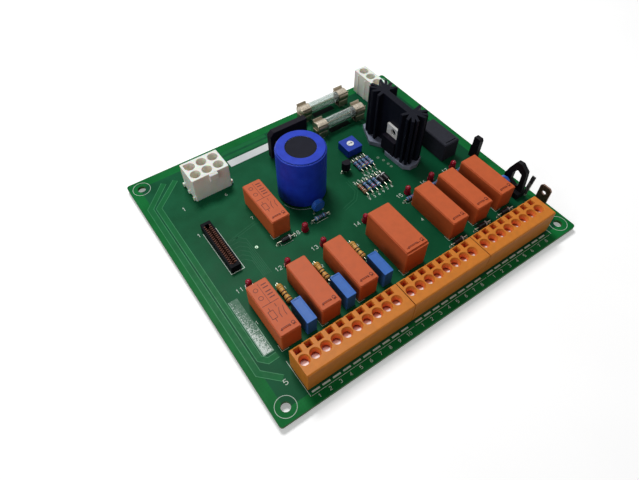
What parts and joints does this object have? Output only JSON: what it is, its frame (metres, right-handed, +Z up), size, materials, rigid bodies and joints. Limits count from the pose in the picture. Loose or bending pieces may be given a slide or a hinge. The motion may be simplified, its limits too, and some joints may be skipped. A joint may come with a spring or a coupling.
{
  "type": "relay module board",
  "caption": "Green circuit board with orange relays, three rows of clamp terminals, a small power supply with heatsink, fuses, and white and ribbon connectors.",
  "frame": {"origin": "centre of the mounting-hole pattern, on the solder side of the board", "axes": "+X along the terminal edge to the right, +Y away from the terminal edge, +Z up through the component side"},
  "size_m": [0.171, 0.15, 0.0348],
  "materials": {
    "board_laminate": "glossy green solder mask",
    "solder": "bright",
    "white_label": "matt",
    "terminal_plastic": "satin orange",
    "tinned_contact": "satin",
    "spring_steel": "satin",
    "relay_plastic": "satin orange red",
    "relay_base_plastic": "matt black",
    "black_plastic": "satin black",
    "black_epoxy": "fine matt black",
    "tinned_wire": "bright",
    "header_plastic": "satin off-white",
    "header_contact": "tinned brass",
    "bronze_contact": "dull bronze",
    "can_aluminium": "satin",
    "capacitor_sleeve": "glossy blue shrink sleeve",
    "vent_disc": "matt dark grey",
    "fuse_clip_metal": "tinned spring metal",
    "fuse_glass": "clear",
    "fuse_cap_metal": "nickel",
    "fuse_wire": "bright",
    "trimmer_plastic": "satin blue",
    "rotor_plastic": "white",
    "black_anodised": "black anodised",
    "grey_foot": "grey",
    "regulator_metal": "tinned copper",
    "film_capacitor": "blue",
    "disc_coating": "blue lacquer",
    "red_lens": "translucent dark red",
    "load_resistor": "beige lacquer with colour bands",
    "signal_resistor": "blue lacquer with colour bands",
    "earth_blade": "dull tinned brass",
    "edge_metal": "dull"
  },
  "bodies": {
    "board": {"circuit_board": "board_laminate", "solder_joints": "solder", "label_strip": "white_label", "terminal_block_left": "terminal_plastic", "terminal_block_middle": "terminal_plastic", "terminal_block_right": "terminal_plastic", "terminal_contacts_left": "tinned_contact", "terminal_contacts_middle": "tinned_contact", "terminal_contacts_right": "tinned_contact", "terminal_springs_left": "spring_steel", "terminal_springs_middle": "spring_steel", "terminal_springs_right": "spring_steel", "relay_cover_1": "relay_plastic", "relay_cover_2": "relay_plastic", "relay_cover_3": "relay_plastic", "relay_cover_4": "relay_plastic", "relay_cover_5": "relay_plastic", "relay_cover_6": "relay_plastic", "relay_cover_7": "relay_plastic", "power_relay_cover": "relay_plastic", "relay_bases": "relay_base_plastic", "signal_relay": "black_plastic", "ribbon_socket": "black_plastic", "cable_clip": "black_plastic", "tie_post": "black_plastic", "bridge_rectifier": "black_epoxy", "regulator_body": "black_epoxy", "transistor": "black_epoxy", "diodes": "black_epoxy", "relay_pins": "tinned_wire", "signal_relay_pins": "tinned_wire", "capacitor_pins": "tinned_wire", "bridge_leads": "tinned_wire", "trimmer_pins": "tinned_wire", "axial_leads": "tinned_wire", "radial_leads": "tinned_wire", "power_header": "header_plastic", "side_header": "header_plastic", "header_pins": "header_contact", "ribbon_contacts": "bronze_contact", "capacitor_can": "can_aluminium", "capacitor_sleeve": "capacitor_sleeve", "capacitor_disc": "vent_disc", "fuse_clips": "fuse_clip_metal", "fuse_tubes": "fuse_glass", "fuse_caps": "fuse_cap_metal", "fuse_wires": "fuse_wire", "trimmer_body": "trimmer_plastic", "heatsink": "black_anodised", "heatsink_base": "grey_foot", "regulator_frame": "regulator_metal", "film_capacitors": "film_capacitor", "disc_capacitors": "disc_coating", "leds": "red_lens", "load_resistors": "load_resistor", "signal_resistors": "signal_resistor", "earth_tab": "earth_blade", "edge_pin": "edge_metal"},
    "rotor": {"trimmer_rotor": "rotor_plastic"}
  },
  "joints": [
    {"name": "trimmer_turn", "type": "hinge", "parent": "board", "child": "rotor", "pos_m": [0.02669, 0.03109, 0.0052], "axis": [0, 0, 1], "range_deg": [-130, 130]}
  ]
}
